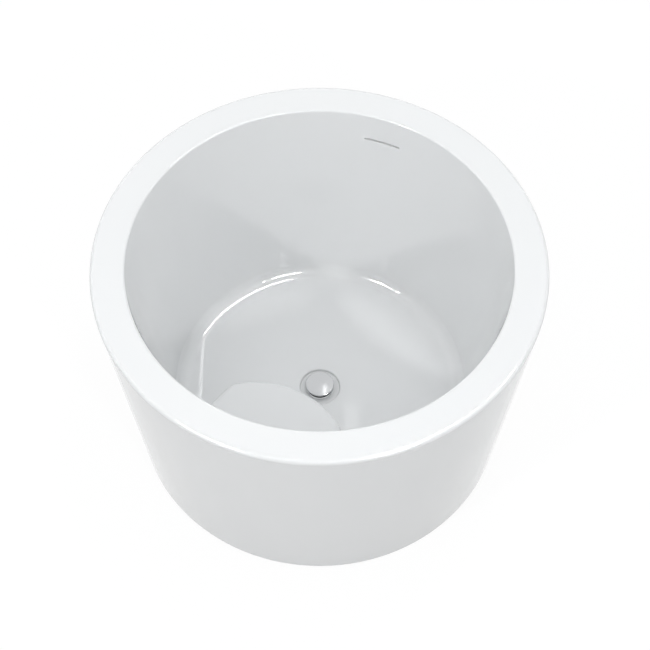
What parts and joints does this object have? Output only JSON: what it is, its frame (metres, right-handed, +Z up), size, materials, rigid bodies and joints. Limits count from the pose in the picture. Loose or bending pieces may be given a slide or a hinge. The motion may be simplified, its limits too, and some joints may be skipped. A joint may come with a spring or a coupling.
{
  "type": "round bathtub",
  "caption": "Deep round free-standing bathtub with a wide flat rim, moulded seat, click-clack waste, slot overflow and levelling feet on a steel frame.",
  "frame": {"origin": "on the floor under the tub's axis, at the bottom of the feet", "axes": "+Z up along the tub's axis, +Y from the axis towards the overflow slot, +X to the right of that"},
  "size_m": [1.0482, 1.0482, 0.648],
  "materials": {
    "acrylic": "polished sanitary acrylic",
    "board": "raw birch plywood",
    "frame_paint": "grey powder coat",
    "zinc": "zinc plated",
    "pad": "moulded black nylon",
    "chrome": "polished chrome",
    "rubber": "matt black rubber",
    "pipe": "moulded white polypropylene",
    "hose": "grey flexible vinyl"
  },
  "bodies": {
    "tub": {"basin_shell": "acrylic", "outer_skirt": "acrylic", "base_board": "board", "seat_board": "board", "seat_stand": "frame_paint", "support_frame": "frame_paint", "frame_screws": "zinc", "skirt_brackets": "zinc", "bracket_screws": "zinc", "lock_nuts": "zinc", "waste_flange": "chrome", "upper_gasket": "rubber", "lower_gasket": "rubber", "waste_lock_nut": "pipe", "waste_body": "pipe", "click_cartridge": "chrome", "plug_spring": "zinc", "overflow_box": "pipe", "overflow_seal": "rubber", "overflow_hose": "hose", "hose_clamp_top": "zinc", "hose_clamp_bottom": "zinc"},
    "plug": {"plug_cap": "chrome", "plug_seal": "rubber"},
    "pad_1": {"foot_pad_1": "pad"},
    "pad_2": {"foot_pad_2": "pad"},
    "pad_3": {"foot_pad_3": "pad"},
    "pad_4": {"foot_pad_4": "pad"},
    "stud_1": {"foot_stud_1": "zinc"},
    "stud_2": {"foot_stud_2": "zinc"},
    "stud_3": {"foot_stud_3": "zinc"},
    "stud_4": {"foot_stud_4": "zinc"}
  },
  "joints": [
    {"name": "plug_slide", "type": "slide", "parent": "tub", "child": "plug", "axis": [0, 0, 1], "range_m": [-0.01, 0], "stiffness_N_per_m": 300, "springref_m": 0.01, "deforming": ["plug_spring"]},
    {"name": "foot_lift_1", "type": "slide", "parent": "tub", "child": "pad_1", "axis": [0, 0, 1], "range_m": [-0.015, 0]},
    {"name": "foot_turn_1", "type": "hinge", "parent": "pad_1", "child": "stud_1", "pos_m": [-0.21, -0.3, 0.03], "axis": [0, 0, 1], "range_deg": [-3090, 0]},
    {"name": "foot_lift_2", "type": "slide", "parent": "tub", "child": "pad_2", "axis": [0, 0, 1], "range_m": [-0.015, 0]},
    {"name": "foot_turn_2", "type": "hinge", "parent": "pad_2", "child": "stud_2", "pos_m": [0.21, -0.3, 0.03], "axis": [0, 0, 1], "range_deg": [-3090, 0]},
    {"name": "foot_lift_3", "type": "slide", "parent": "tub", "child": "pad_3", "axis": [0, 0, 1], "range_m": [-0.015, 0]},
    {"name": "foot_turn_3", "type": "hinge", "parent": "pad_3", "child": "stud_3", "pos_m": [0.21, 0.3, 0.03], "axis": [0, 0, 1], "range_deg": [-3090, 0]},
    {"name": "foot_lift_4", "type": "slide", "parent": "tub", "child": "pad_4", "axis": [0, 0, 1], "range_m": [-0.015, 0]},
    {"name": "foot_turn_4", "type": "hinge", "parent": "pad_4", "child": "stud_4", "pos_m": [-0.21, 0.3, 0.03], "axis": [0, 0, 1], "range_deg": [-3090, 0]}
  ],
  "couplings": [
    {"joint": "foot_turn_1", "follows": "foot_lift_1", "rad_per_m": 3590.4},
    {"joint": "foot_turn_2", "follows": "foot_lift_2", "rad_per_m": 3590.4},
    {"joint": "foot_turn_3", "follows": "foot_lift_3", "rad_per_m": 3590.4},
    {"joint": "foot_turn_4", "follows": "foot_lift_4", "rad_per_m": 3590.4}
  ]
}
